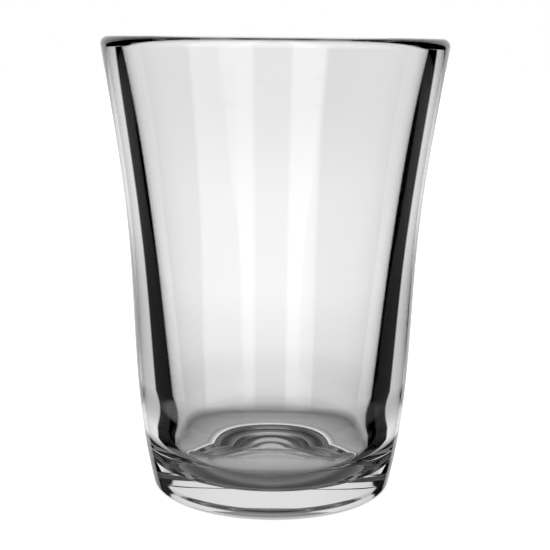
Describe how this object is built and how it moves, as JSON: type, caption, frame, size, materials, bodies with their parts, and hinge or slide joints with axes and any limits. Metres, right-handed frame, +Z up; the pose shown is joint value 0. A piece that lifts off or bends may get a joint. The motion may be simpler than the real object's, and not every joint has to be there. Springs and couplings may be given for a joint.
{
  "type": "cortado glass",
  "caption": "Small thick-walled tumbler of clear pressed glass, narrow at the heavy foot and flared to a rounded lip, for espresso with a little milk.",
  "frame": {"origin": "middle of the foot, on the surface that the glass stands on", "axes": "+Z up along the glass's own axis, from the foot to the mouth"},
  "size_m": [0.07, 0.07, 0.093],
  "materials": {
    "clear_glass": "clear, fire-polished pressed soda-lime glass"
  },
  "bodies": {
    "root": {"tumbler": "clear_glass"}
  },
  "joints": []
}
